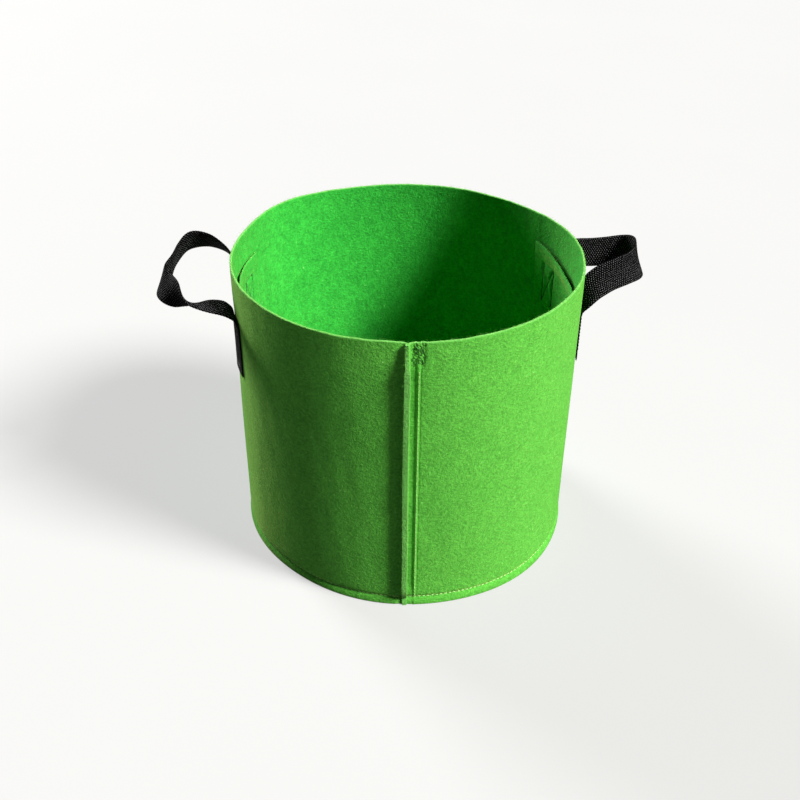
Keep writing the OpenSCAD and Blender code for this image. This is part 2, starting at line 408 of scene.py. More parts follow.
def felt_wall():
    """One closed sheet round the bag, whose two edges turn out side by side as the flap."""
    half = FELT / 2
    bend = half + 0.3
    foot = half + 0.01
    straight = np.linspace(1.0, 0.0, 6)[:-1]
    corner = np.radians(np.linspace(0, 90, 6))
    fine = np.concatenate([np.arange(foot + bend + 0.6, 15.0, 0.62), [16.2, 18.0, 20.6]])
    fine_azimuth = np.degrees(np.arcsin(fine / WALL_R))
    first = fine_azimuth[-1]
    round_azimuth = np.linspace(first, 360 - first, 290)[1:-1]
    z_rows = wall_heights()
    half_by_row = half * np.interp(z_rows, [0, 0.35, 0.9, 262.6, 263.45, 263.8, 264.0],
                                   [0.66, 0.9, 1.0, 1.0, 0.95, 0.84, 0.6])
    rng = np.random.default_rng(5)
    points, inside, cut = [], [], []
    for z, h in zip(z_rows, half_by_row):
        front = WALL_R + wall_offset(0.0, z)
        reach = flap_reach(z) + 0.2 * math.sin(z * 0.11) + rng.uniform(-0.14, 0.14)
        lean = -0.5 + 0.3 * math.sin(z / 31.0) - 0.6 * float(ease(238, 262, z))
        lean *= float(ease(4, 30, z))
        squeeze = 1 - 0.32 * float(ease(241, 246, z)) - 0.1 * float(1 - ease(8, 20, z))
        right, left = [], []
        for side, rows in ((1, right), (-1, left)):
            level = float(beside_seam(side * 2.5, z)) - half
            low = level + bend
            for t in straight:
                x = side * foot * squeeze + lean * t**1.3
                rows.append((x, low + t * (reach - low), h * squeeze))
            for a in corner:
                x = foot + bend - bend * math.cos(a)
                x *= squeeze + (1 - squeeze) * a / corner[-1]
                rows.append((side * x, level + bend * (1 - math.sin(a)), h))
        right, left = ([(x, -(front + y), k) for x, y, k in rows] for rows in (right, left))
        azimuth = np.concatenate([fine_azimuth, round_azimuth, 360 - fine_azimuth[::-1]])
        x_from_seam = WALL_R * np.sin(np.radians(azimuth))
        near = (np.abs(turn_between(azimuth, 0)) < 12).astype(float)
        radius = WALL_R - half + wall_offset(azimuth, z)
        radius = radius + beside_seam(x_from_seam, z) * near
        ring = at_azimuth(azimuth, radius, 0)[:, :2]
        centre = np.vstack([[p[:2] for p in right], ring, [p[:2] for p in reversed(left)]])
        thick = np.concatenate([[p[2] for p in right], np.full(len(ring), h),
                                [p[2] for p in reversed(left)]])
        heading = unit(np.gradient(centre, axis=0))
        outward = np.stack([heading[:, 1], -heading[:, 0]], -1)
        outer = centre + outward * thick[:, None]
        inner = centre - outward * thick[:, None]
        tips = []
        for end, inwards in ((-1, -2), (0, 1)):
            away = unit(centre[end] - centre[inwards])
            tips.append([outer[end] * 0.97 + inner[end] * 0.03 + away * 0.14,
                         centre[end] + away * (0.2 + rng.uniform(-0.1, 0.1)),
                         inner[end] + away * 0.19])
        row = np.vstack([outer, tips[0], inner[::-1], tips[1][::-1]])
        where = np.degrees(np.arctan2(row[:, 0], -row[:, 1]))
        height = z + rim_rise(where) * ease(200, HEIGHT, z)
        points.append(np.column_stack([row, height]))
        m = len(outer)
        inside.append(np.concatenate([np.zeros(m), [0.0] * 3, np.ones(m), [0.0] * 3]))
        tip_cut = np.zeros(len(row))
        tip_cut[m:m + 3] = tip_cut[-3:] = 1.0
        tip_cut[[0, m - 1, m + 3, 2 * m + 2]] = 0.8
        edge = 1 - float(ease(0.3, 1.0, z)) + float(ease(263.2, 263.8, z))
        cut.append(np.maximum(tip_cut, 0.9 * edge))
    count = len(points[0])
    m = (count - 6) // 2
    points, inside, cut = np.vstack(points), np.concatenate(inside), np.concatenate(cut)
    faces = []
    for j in range(len(z_rows) - 1):
        for i in range(count):
            a, b = j * count + i, j * count + (i + 1) % count
            faces.append((a, b, b + count, a + count))
    extra = []
    for start, lift in ((0, -0.14), (len(z_rows) - 1, 0.22)):
        row = start * count
        index = len(points) + len(extra)
        outer = np.arange(m) + row
        inner = row + m + 3 + np.arange(m)[::-1]
        middle = (points[outer] + points[inner]) / 2
        middle[:, 2] += lift + rng.uniform(-0.12, 0.12, m)
        middle[:, :2] += rng.uniform(-0.15, 0.15, (m, 2))
        extra.extend(middle.tolist())
        mids = np.arange(m) + index
        cap = []
        for i in range(m - 1):
            cap.append((outer[i], mids[i], mids[i + 1], outer[i + 1]))
            cap.append((mids[i], inner[i], inner[i + 1], mids[i + 1]))
        tip_far = [row + m, row + m + 1, row + m + 2]
        tip_near = [row + 2 * m + 3, row + 2 * m + 4, row + 2 * m + 5]
        cap.append((outer[m - 1], mids[m - 1], inner[m - 1], *tip_far[::-1]))
        cap.append((inner[0], mids[0], outer[0], *tip_near[::-1]))
        if start:
            cap = [f[::-1] for f in cap]
        faces.extend(tuple(int(k) for k in f) for f in cap)
    points = np.vstack([points, np.array(extra)])
    inside = np.concatenate([inside, np.zeros(len(extra))])
    cut = np.concatenate([cut, np.ones(len(extra))])
    piece = new_piece("wall_felt", points, face_outwards(points, faces), felt)
    piece.data.set_sharp_from_angle(angle=math.radians(55))
    point_values(piece, "inside", inside)
    point_values(piece, "cut", cut)
    return piece


# ---------------------------------------------------------------- the felt base and patches
def felt_base():
    """A disc whose edge climbs to the seam and turns down inside the wall."""
    half = FELT / 2
    skirt = WALL_R - FELT - LAYER_GAP - half
    route = smooth_curve(
        [(0, half), (60, half), (116, half), (128, half + 0.5), (136, half + 3.0),
         (141.5, half + 6.6), (144.4, half + 8.2), (skirt - 0.15, half + 6.6), (skirt, 5.0),
         (skirt, 1.1)], 7)
    _, route = evenly(route, 1.6)
    dense = route[route[:, 0] > 110]
    route = np.vstack([[(r, half) for r in (4, 14, 26, 40, 54, 68, 82, 95, 104)], dense])
    heading = unit(np.gradient(route, axis=0))
    across = np.stack([-heading[:, 1], heading[:, 0]], -1)
    columns = 240
    azimuth = np.arange(columns) * 360.0 / columns
    pucker = Ripples(41, 18, 34, 0.0, 16)
    dips = Ripples(47, 2, 7, 0.0, 8)
    sheets = []
    for side in (1, -1):
        rows = []
        for (r, z), (nr, nz) in zip(route, across):
            r2, z2 = r + side * half * nr, z + side * half * nz
            fold = float(hump(r, 139, 8)) * 0.8
            follow = wall_offset(azimuth, min(z2, 14.0)) * float(ease(138, 146, r))
            radius = r2 + follow + 0.3 * fold * pucker(azimuth + 3, 0.0)
            lift = fold * pucker(azimuth, 0.0)
            lift = lift + 1.1 * (1 + dips(azimuth, 0.0)) * float(hump(r, 88, 30)) * 0.8
            rows.append(at_azimuth(azimuth, radius, np.maximum(z2 + lift, 0.02)))
        sheets.append(np.vstack(rows))
    n = len(route)
    points = np.vstack(sheets + [[(0, 0, FELT)], [(0, 0, 0.02)]])
    top_pole, bottom_pole = 2 * n * columns, 2 * n * columns + 1
    faces = []
    for k in range(columns):
        k2 = (k + 1) % columns
        for base, flip in ((0, False), (n * columns, True)):
            for j in range(n - 1):
                f = (base + j * columns + k, base + (j + 1) * columns + k,
                     base + (j + 1) * columns + k2, base + j * columns + k2)
                faces.append(f[::-1] if flip else f)
        last, last_under = (n - 1) * columns, (2 * n - 1) * columns
        faces.append((last + k, last_under + k, last_under + k2, last + k2))
        faces.append((top_pole, k, k2))
        faces.append((bottom_pole, n * columns + k2, n * columns + k))
    piece = new_piece("base_felt", points, face_outwards(points, faces), felt)
    point_values(piece, "inside", np.ones(len(points)))
    edge = np.zeros(len(points))
    edge[(n - 1) * columns:n * columns] = edge[(2 * n - 1) * columns:2 * n * columns] = 0.8
    point_values(piece, "cut", edge)
    return piece


def box_dent(x, z):
    """1 on the lines of a stitched box and its cross, fading to 0 beside them."""
    w, h = BOX_WIDTH / 2, (BOX_HIGH - BOX_LOW) / 2
    z = z - BOX_MIDDLE
    edge = np.maximum(np.abs(x) - w, np.abs(z) - h)
    slope = math.hypot(1 / w, 1 / h)
    within = 1 - ease(-0.5, 1.0, edge)
    lines = [hump(edge, 0, 1.3)]
    lines += [within * hump((x / w + k * z / h) / slope, 0, 1.3) for k in (-1, 1)]
    return np.maximum.reduce(lines)


def inner_patch(name, turn, gape, droop):
    """A felt patch inside the wall, behind a handle; its top edge stands off the wall."""
    half = FELT / 2
    z_rows = np.concatenate([[PATCH_LOW, 178.8, 179.6], np.arange(181.5, 234.1, 1.5),
                             [235.6, 236.8, 237.7, 238.3, PATCH_HIGH]])
    azimuth = np.concatenate([[-PATCH_REACH, -23.5, -23.2], np.linspace(-22.7, 22.7, 90),
                              [23.2, 23.5, PATCH_REACH]]) + turn
    along = turn_between(azimuth, turn) * hand_of(turn)
    squeeze = Ripples(int(abs(turn)), 10, 30, 0.09, 12)
    sheets = []
    for side in (1, -1):
        rows = []
        for z in z_rows:
            edge = min(z - PATCH_LOW, PATCH_HIGH - z)
            fat = half * (0.62 + 0.38 * float(ease(0.0, 0.9, edge)))
            ends = 0.62 + 0.38 * ease(0.0, 0.35, PATCH_REACH - np.abs(along))
            off = gape(along) * ease(212, PATCH_HIGH, z) ** 1.7
            off = off + 0.25 * (1 + squeeze(azimuth, z))
            radius = WALL_R - FELT - LAYER_GAP - half + wall_offset(azimuth, z) - off
            height = z + 0.3 * np.sin(along * 0.5) * float(ease(225, 238, z))
            height = height - droop(along) * float(ease(196, PATCH_HIGH, z))
            if side > 0:
                for leg in (-1, 1):
                    from_leg = turn_between(azimuth, leg_azimuth(turn, leg))
                    beside = from_leg * math.pi / 180 * WALL_R
                    cushion = 1 - ease(6, 11, np.abs(beside))
                    cushion = cushion * (1 - ease(18, 24, abs(z - BOX_MIDDLE)))
                    radius = radius + 1.25 * box_dent(beside, z) - 0.5 * cushion
            rows.append(at_azimuth(azimuth, radius - side * fat * ends, height))
        sheets.append(np.vstack(rows))
    nz, na = len(z_rows), len(azimuth)
    points = np.vstack(sheets)
    back = nz * na
    faces = []
    for j in range(nz - 1):
        for i in range(na - 1):
            a = j * na + i
            faces.append((a, a + 1, a + na + 1, a + na))
            faces.append((back + a, back + a + na, back + a + na + 1, back + a + 1))
    border = list(range(na - 1)) + [j * na + na - 1 for j in range(nz - 1)]
    border += [(nz - 1) * na + i for i in range(na - 1, 0, -1)]
    border += [j * na for j in range(nz - 1, 0, -1)]
    for a, b in zip(border, border[1:] + border[:1]):
        faces.append((a, back + a, back + b, b))
    piece = new_piece(name, points, face_outwards(points, faces), felt)
    point_values(piece, "inside", np.ones(len(points)))
    rim = np.zeros((nz, na))
    rim[:2, :] = rim[-2:, :] = 0.3
    rim[:, :2] = rim[:, -2:] = 0.3
    point_values(piece, "cut", np.concatenate([rim.ravel(), rim.ravel()]))
    return piece


# ---------------------------------------------------------------- webbing handles
# Rows from the front fold to the rear fold: outwards from the bag's axis, along the wall
# towards the rear, height, and the turn of the webbing (0 or 180 lies flat, 90 is on edge).
LEFT_ROUTE = [
    (146.6, -40, 229, 0), (154, -41, 235, 0), (168, -41, 238, 8), (182, -38, 239, 34),
    (192, -31, 243, 92), (202, -21, 244, 120), (208, -8, 246, 112), (202, 7, 249, 102),
    (198, 23, 254, 108), (189, 36, 260, 116), (174, 41, 258, 130), (161, 41, 251, 142),
    (151, 40, 240, 160), (146.6, 40, 229, 180),
]
RIGHT_ROUTE = [
    (146.6, -40, 229, 180), (153, -38, 237, 160), (166, -33, 243, 140), (185, -25, 245, 134),
    (200, -13, 243, 128), (208, 1, 242, 112), (210, 16, 243, 92), (204, 26, 240, 76),
    (189, 30, 237, 66), (174, 34, 235, 60), (160, 38, 235, 36), (152, 40, 233, 12),
    (146.6, 40, 228, 0),
]


def hand_of(turn):
    """1 for the right handle and -1 for the left one."""
    return 1.0 if turn > 0 else -1.0


def handle_axes(turn):
    """Unit vectors out of the wall and along it, from the front to the rear."""
    a = math.radians(turn)
    out = np.array([math.sin(a), -math.cos(a), 0.0])
    return out, hand_of(turn) * np.array([math.cos(a), math.sin(a), 0.0])


def leg_azimuth(turn, side):
    """Where a sewn end's middle is: side -1 is the front one and 1 is the rear one."""
    middle = WALL_R + LAYER_GAP + WEB_THICK / 2
    return turn + hand_of(turn) * side * math.degrees(math.asin(HALF_SPACING / middle))


def strap_line(turn, route):
    """Middle line of the whole webbing, its width direction and how much it hugs the wall."""
    out, along = handle_axes(turn)
    hand = hand_of(turn)
    dense = smooth_curve(route, 16)
    loop = dense[:, :1] * out + dense[:, 1:2] * along + dense[:, 2:3] * UP
    heading = unit(np.gradient(loop, axis=0))
    level = unit(np.cross(heading, UP)) * hand
    rise = np.cross(level, heading) * hand
    phi = np.radians(dense[:, 3:4])
    loop_width = np.cos(phi) * level + np.sin(phi) * rise
    legs, leg_width = [], []
    for side in (-1, 1):
        azimuth = leg_azimuth(turn, side)
        z = np.arange(SEWN_BOTTOM, BOX_HIGH + 0.1, 2.0)
        radius = WALL_R + LAYER_GAP + WEB_THICK / 2 + wall_offset(azimuth, z) + RIB_RISE
        legs.append(at_azimuth(azimuth, radius, z))
        tangent = at_azimuth(azimuth + 90, 1.0, 0.0)
        leg_width.append(np.tile(tangent, (len(z), 1)))
    end_widths = []
    for k, width in ((0, leg_width[0]), (-1, leg_width[1])):
        same = 1.0 if np.dot(width[0], loop_width[k]) > 0 else -1.0
        end_widths.append(width * same)
    line = np.vstack([legs[0], loop, legs[1][::-1]])
    width = np.vstack([end_widths[0], loop_width, end_widths[1]])
    hug = np.concatenate([np.ones(len(legs[0])), np.zeros(len(loop)), np.ones(len(legs[1]))])
    run, line, width, hug = evenly(line, 0.55, width, hug[:, None])
    reach = 9
    kernel = np.hanning(2 * reach + 1)
    kernel /= kernel.sum()

    def soften(rows):
        padded_rows = np.pad(rows, ((reach, reach), (0, 0)), mode="edge")
        return np.stack([np.convolve(padded_rows[:, k], kernel, mode="valid")
                         for k in range(rows.shape[1])], -1)

    line[reach:-reach] = soften(line)[reach:-reach]
    for _ in range(3):
        width = soften(width)
        hug = soften(hug)
    heading = unit(np.gradient(line, axis=0))
    width = unit(width - (width * heading).sum(1, keepdims=True) * heading)
    return run, line, heading, width, hug[:, 0]


def clear_of_wall(front, back):
    """Both faces of the webbing, moved out together wherever they would sink into the wall."""
    need = np.zeros(front.shape[:2])
    for face in (front, back):
        azimuth = np.degrees(np.arctan2(face[..., 0], -face[..., 1]))
        radius = np.hypot(face[..., 0], face[..., 1])
        gap = 0.4 * ease(SEWN_TOP, SEWN_TOP + 6, face[..., 2])
        short = WALL_R + wall_offset(azimuth, face[..., 2]) + gap - radius
        above_sewn = ease(SEWN_TOP - 1, SEWN_TOP + 2, face[..., 2])
        need = np.maximum(need, short * above_sewn)
    reach = 6
    rows = len(need)
    padded_need = np.pad(need, ((reach, reach), (0, 0)), mode="edge")
    widest = np.max([padded_need[k:k + rows] for k in range(2 * reach + 1)], axis=0)
    padded_need = np.pad(widest, ((reach, reach), (0, 0)), mode="edge")
    weights = np.hanning(2 * reach + 3)[1:-1]
    weights /= weights.sum()
    need = sum(w * padded_need[k:k + rows] for k, w in enumerate(weights))
    middle = (front + back) / 2
    outward = unit(middle * np.array([1.0, 1.0, 0.0]))
    shift = outward * need[..., None]
    return front + shift, back + shift, shift


def webbing_strap(name, turn, route):
    """One closed ribbon with woven ribs, from the foot of one sewn end to that of the other."""
    run, line, heading, width, hug = strap_line(turn, route)
    normal = unit(np.cross(heading, width))
    columns = 13
    share = np.linspace(-1, 1, columns)
    radial = unit(line * np.array([1.0, 1.0, 0.0]))
    facing = np.sign((normal * radial).sum(1))
    for k in range(len(facing)):
        if hug[k] < 0.05:
            facing[k] = facing[k - 1] if k else 1.0
    sag = -(share[None, :] * WEB_WIDTH / 2) ** 2 / (2 * (WALL_R + 1))
    bow = sag * (hug * facing)[:, None]
    wave = np.cos(2 * math.pi * run / RIB_PITCH)
    rib = wave[:, None] * np.where(np.arange(columns) % 2, 1.0, -1.0)
    selvedge = 1 - 0.45 * np.abs(share) ** 6
    ends = np.minimum(run, run[-1] - run)
    fat = (0.55 + 0.45 * ease(0.0, 1.2, ends))[:, None]
    half = WEB_THICK / 2 * selvedge[None, :] * fat
    scallop = 1 + 0.006 * wave
    base = line[:, None, :] + width[:, None, :] * (
        share[None, :, None] * WEB_WIDTH / 2 * scallop[:, None, None])
    base = base + normal[:, None, :] * bow[..., None]
    dent = 0.4 * box_dent(share[None, :] * WEB_WIDTH / 2, line[:, 2:3])
    dent = dent * (hug[:, None] > 0.9) * (line[:, 2:3] < SEWN_TOP)
    outer_side = facing[:, None] > 0
    front = base + normal[:, None, :] * (
        half + RIB_RISE * rib - np.where(outer_side, dent, 0))[..., None]
    back = base - normal[:, None, :] * (
        half - RIB_RISE * rib - np.where(outer_side, 0, dent))[..., None]
    front, back, shift = clear_of_wall(front, back)
    bulge = 0.28
    right_edge = base[:, -1] + width * bulge + shift[:, -1]
    left_edge = base[:, 0] - width * bulge + shift[:, 0]
    ring = np.concatenate([front, right_edge[:, None], back[:, ::-1], left_edge[:, None]], 1)
    n, m = ring.shape[:2]
    points = ring.reshape(-1, 3)
    faces = []
    for j in range(n - 1):
        for i in range(m):
            a, b = j * m + i, j * m + (i + 1) % m
            faces.append((a, b, b + m, a + m))
    for start, flip in ((0, True), ((n - 1) * m, False)):
        far = start + 2 * columns
        cap = [(start + i, start + i + 1, far - i - 1, far - i) for i in range(columns - 1)]
        cap.append((start + columns - 1, start + columns, start + columns + 1))
        cap.append((far, far + 1, start))
        faces += [f[::-1] for f in cap] if flip else cap
    piece = new_piece(name, points, face_outwards(points, faces), webbing)
    across = np.concatenate([(share + 1) / 2, [1.0], (share[::-1] + 1) / 2, [0.0]])
    u = np.tile(across, n)
    v = np.repeat(run / (2 * RIB_PITCH), m)
    uv = piece.data.uv_layers.new(name="webbing_uv")
    loops = np.zeros(len(piece.data.loops), np.int32)
    piece.data.loops.foreach_get("vertex_index", loops)
    uv.data.foreach_set("uv", np.stack([u[loops], v[loops]], -1).ravel().astype(np.float32))
    return piece


# ---------------------------------------------------------------- stitches and fuzz
def socket_id(tree, name):
    """The identifier of a tree's input."""
    for item in tree.interface.items_tree:
        if item.item_type == "SOCKET" and item.in_out == "INPUT" and item.name == name:
            return item.identifier
    raise KeyError(name)


class Growth:
    """A node tree that lays a small tube on every point, built up a node at a time."""

    def __init__(self, name, **sizes):
        self.tree = bpy.data.node_groups.new(name, "GeometryNodeTree")
        self.socket("Geometry", "NodeSocketGeometry")
        for label, value in sizes.items():
            kind = "NodeSocketInt" if isinstance(value, int) else "NodeSocketFloat"
            self.socket(label, kind).default_value = value
        self.socket("Material", "NodeSocketMaterial")
        self.socket("Geometry", "NodeSocketGeometry", "OUTPUT")
        self.given = self.node("NodeGroupInput").outputs

    def socket(self, label, kind, way="INPUT"):
        return self.tree.interface.new_socket(label, in_out=way, socket_type=kind)

    def node(self, kind, inputs=None, **settings):
        """A node whose inputs are each given a value or linked to an output."""
        node = self.tree.nodes.new(kind)
        for key, value in settings.items():
            setattr(node, key, value)
        for key, value in (inputs or {}).items():
            if isinstance(value, bpy.types.NodeSocket):
                self.tree.links.new(value, node.inputs[key])
            else:
                node.inputs[key].default_value = value
        return node

    def calc(self, operation, a, b):
        return self.node("ShaderNodeMath", {0: a, 1: b}, operation=operation).outputs[0]

    def random(self, low, high, seed):
        """A random number from low to high for each point."""
        node = self.node("FunctionNodeRandomValue", {2: low, 3: high, "Seed": seed},
                         data_type="FLOAT")
        return node.outputs[1]

    def lay(self, curve, radius, sides, points, facing, turned, size):
        """A tube along the curve on every point, faced, turned and sized, as plain mesh."""
        ply = self.node("GeometryNodeCurvePrimitiveCircle", {"Resolution": sides, "Radius": radius})
        tube = self.node("GeometryNodeCurveToMesh",
                         {"Curve": curve, "Profile Curve": ply.outputs[0], "Fill Caps": True})
        rotate = self.node("FunctionNodeRotateRotation", {"Rotation": facing, "Rotate By": turned},
                           rotation_space="LOCAL")
        laid = self.node("GeometryNodeInstanceOnPoints",
                         {"Points": points, "Instance": tube.outputs[0],
                          "Rotation": rotate.outputs[0], "Scale": size})
        real = self.node("GeometryNodeRealizeInstances", {0: laid.outputs[0]})
        paint = self.node("GeometryNodeSetMaterial",
                          {"Geometry": real.outputs[0], "Material": self.given["Material"]})
        self.node("NodeGroupOutput", {0: paint.outputs[0]})
        return self.tree


def stitch_tree():
    """A stitch on every vertex: it runs along 'run' and arches towards 'out'."""
    t = Growth("stitches", Length=0.003, Thread=0.0003, Arch=0.0003, Sway=0.08, Seed=1)
    given = t.given

    def corner(x, z):
        return t.node("ShaderNodeCombineXYZ", {"X": x, "Z": z}).outputs[0]

    half = t.calc("MULTIPLY", given["Length"], 0.5)
    sink = t.calc("MULTIPLY", given["Thread"], -1.3)
    arc = t.node("GeometryNodeCurveQuadraticBezier", {
        "Resolution": 5, "Start": corner(t.calc("MULTIPLY", half, -1.0), sink),
        "Middle": corner(0.0, t.calc("MULTIPLY", given["Arch"], 2.0)), "End": corner(half, sink)})
    run, out = (t.node("GeometryNodeInputNamedAttribute", {"Name": name},
                       data_type="FLOAT_VECTOR").outputs["Attribute"] for name in ("run", "out"))
    ahead = t.node("FunctionNodeAlignRotationToVector", {"Vector": run}, axis="X",
                   pivot_axis="AUTO")
    facing = t.node("FunctionNodeAlignRotationToVector",
                    {"Rotation": ahead.outputs[0], "Vector": out}, axis="Z", pivot_axis="X")
    sway = t.random(t.calc("MULTIPLY", given["Sway"], -1.0), given["Sway"], given["Seed"])
    turn = t.node("FunctionNodeAxisAngleToRotation", {"Axis": (0, 0, 1), "Angle": sway})
    return t.lay(arc.outputs[0], given["Thread"], 6, given["Geometry"], facing.outputs[0],
                 turn.outputs[0], t.random(0.88, 1.08, t.calc("ADD", given["Seed"], 7)))


def fuzz_tree():
    """Short bent fibres scattered over the faces, leaning at random."""
    t = Growth("felt_fuzz", Density=30000.0, Length=0.003, Fibre=0.00005, Seed=2)
    given = t.given
    spread = t.node("GeometryNodeDistributePointsOnFaces",
                    {"Mesh": given["Geometry"], "Density": given["Density"],
                     "Seed": given["Seed"]})
    arc = t.node("GeometryNodeCurveQuadraticBezier",
                 {"Resolution": 4, "Start": (0, 0, -0.1), "Middle": (0.1, 0, 0.6),
                  "End": (0.75, 0.2, 0.55)})
    scale = t.node("ShaderNodeCombineXYZ", {key: given["Length"] for key in "XYZ"})
    longer = t.node("GeometryNodeTransform",
                    {"Geometry": arc.outputs[0], "Scale": scale.outputs[0]})
    lean = t.node("FunctionNodeRandomValue", {0: (-0.7, -0.7, -3.1), 1: (0.7, 0.7, 3.1),
                                              "Seed": given["Seed"]}, data_type="FLOAT_VECTOR")
    turn = t.node("FunctionNodeEulerToRotation", {0: lean.outputs[0]})
    return t.lay(longer.outputs[0], given["Fibre"], 3, spread.outputs["Points"],
                 spread.outputs["Rotation"], turn.outputs[0],
                 t.random(0.4, 1.15, given["Seed"]))


def grown(name, source, tree, material, **inputs):
    """The result of a node tree on a source mesh, as a plain mesh object."""
    holder = in_scene(name + "_source", source)
    modifier = holder.modifiers.new("nodes", "NODES")
    modifier.node_group = tree
    modifier[socket_id(tree, "Material")] = material
    for key, value in inputs.items():
        modifier[socket_id(tree, key)] = value
    holder.update_tag()
    bpy.context.view_layer.update()
    graph = bpy.context.evaluated_depsgraph_get()
    mesh = bpy.data.meshes.new_from_object(holder.evaluated_get(graph))
    bpy.data.objects.remove(holder)
    mesh.name = name
    piece = in_scene(name, mesh)
    mesh.polygons.foreach_set("use_smooth", [True] * len(mesh.polygons))
    for layer in [a.name for a in mesh.attributes if a.name in ("run", "out")]:
        mesh.attributes.remove(mesh.attributes[layer])
    return piece


STITCHES = stitch_tree()
FUZZ = fuzz_tree()


def sewn(name, rows, material, length, thread=0.32, arch=0.3, sway=0.08, seed=1):
    """Stitches along rows of (points, outward directions), in millimetres."""
    points, runs, outs = [], [], []
    for line, out in rows:
        points.append(line)
        runs.append(unit(np.gradient(line, axis=0)))
        outs.append(np.broadcast_to(out, line.shape))
    source = bpy.data.meshes.new(name + "_points")
    source.from_pydata((np.vstack(points) * 0.001).tolist(), [], [])
    for key, rows_of in (("run", runs), ("out", outs)):
        layer = source.attributes.new(key, "FLOAT_VECTOR", "POINT")
        layer.data.foreach_set("vector", np.vstack(rows_of).astype(np.float32).ravel())
    return grown(name, source, STITCHES, material, Length=length * 0.001, Thread=thread * 0.001,
                 Arch=arch * 0.001, Sway=sway, Seed=seed)


def along_line(start, end, pitch):
    """Points at the given pitch from start to end."""
    start, end = np.asarray(start, float), np.asarray(end, float)
    count = max(2, int(round(np.linalg.norm(end - start) / pitch)))
    t = (np.arange(count) + 0.5) / count
    return start + (end - start) * t[:, None]


def box_rows(turn, side, radius_of, outward):
    """A stitched box with a cross, over a sewn end, on the surface at radius_of."""
    azimuth = leg_azimuth(turn, side)
    w, low, high = BOX_WIDTH / 2, BOX_LOW, BOX_HIGH
    lines = [((-w, low), (w, low)), ((w, low), (w, high)), ((w, high), (-w, high)),
             ((-w, high), (-w, low)), ((-w, low), (w, high)), ((w, low), (-w, high))]
    rows = []
    for start, end in lines:
        flat = along_line(start, end, BOX_PITCH)
        turned = azimuth + np.degrees(flat[:, 0] / WALL_R)
        radius = radius_of(turned, flat[:, 1])
        line = at_azimuth(turned, radius, flat[:, 1])
        rows.append((line, outward * at_azimuth(turned, 1.0, 0.0)))
    return rows


# ---------------------------------------------------------------- make the pieces
wall = felt_wall()
base = felt_base()
left_patch = inner_patch("left_patch_felt", LEFT_TURN,
                         gape=lambda along: 3.4 * (1 - ease(-16, 20, along)) + 0.5,
                         droop=lambda along: 1.0 * ease(-16, 20, along))
right_patch = inner_patch("right_patch_felt", RIGHT_TURN,
                          gape=lambda along: 1.2 + 3.2 * (1 - (along / 24.0) ** 2),
                          droop=lambda along: 8.0 * (1 - ease(-2, 23, along)))
left_strap = webbing_strap("left_webbing", LEFT_TURN, LEFT_ROUTE)
right_strap = webbing_strap("right_webbing", RIGHT_TURN, RIGHT_ROUTE)


def outer_face(azimuth, z):
    """Radius of the wall's outer face."""
    return WALL_R + wall_offset(azimuth, z)


def inner_face(azimuth, z, lift=0.0):
    """Radius of the inner face of the base's edge and the patches, or lift outside it."""
    return WALL_R - 2 * FELT - LAYER_GAP + lift + wall_offset(azimuth, z)


def seam_rows():
    """Down both faces of the flap."""
    z = np.arange(27.0, 243.0, SEAM_PITCH)
    rows = []
    for side in (-1, 1):
        x = side * (FELT + 0.02) - 0.27
        y = -(outer_face(0.0, z) + 2.6)
        line = np.stack([np.full_like(z, x), y, z], -1)
        rows.append((line, np.array([side * 1.0, 0.0, 0.0])))
    return rows


def ridge_rows():
    """Down the ridge beside the flap, where the seam shows through."""
    z = np.arange(11.5, 241.0, SEAM_PITCH)
    azimuth = np.degrees(8.5 / WALL_R)
    radius = outer_face(azimuth, z) + beside_seam(8.5, z)
    line = at_azimuth(np.full_like(z, azimuth), radius + 0.05, z)
    return [(line, at_azimuth(azimuth, 1.0, 0.0))]


def tack_rows():
    """Three short rows sewn to and fro across the seam under the rim."""
    rows = []
    for x, shift in ((4.3, 0.0), (7.6, 1.1), (10.9, 0.4)):
        z = np.arange(244.5 + shift, 261.5, 2.3)
        swing = np.where(np.arange(len(z)) % 2, 0.75, -0.75)
        azimuth = np.degrees((x + swing) / WALL_R)
        radius = outer_face(azimuth, z) + beside_seam(x, z) + 0.15
        rows.append((at_azimuth(azimuth, radius, z), at_azimuth(azimuth, 1.0, 0.0)))
    return rows


def ring_row(z, radius_of, outward, gap):
    """Round the bag at height z, but for a gap in degrees at each side of the seam."""
    count = int(round((360 - 2 * gap) * math.pi / 180 * WALL_R / SEAM_PITCH))
    azimuth = gap + (np.arange(count) + 0.5) * (360 - 2 * gap) / count
    line = at_azimuth(azimuth, radius_of(azimuth, z), np.full(count, z))
    return line, outward * at_azimuth(azimuth, 1.0, 0.0)


seam_stitches = sewn("side_seam_stitches", seam_rows(), shade_darkened_thread, 3.3, thread=0.26, arch=0.14,
                     seed=4)
ridge_stitches = sewn("seam_ridge_stitches", ridge_rows(), seam_thread, 3.4, thread=0.3,
                      arch=0.22, seed=5)
tack_stitches = sewn("rim_tack_stitches", tack_rows(), shade_darkened_thread, 3.4, thread=0.36, sway=0.3,
                     seed=6)
base_rows = [ring_row(STITCH_LINE, outer_face, 1.0, 1.2),
             ring_row(STITCH_LINE - 1.5, inner_face, -1.0, 0.0)]
base_stitches = sewn("base_seam_stitches", base_rows, seam_thread, 3.3, thread=0.42, arch=0.42,
                     sway=0.1, seed=8)


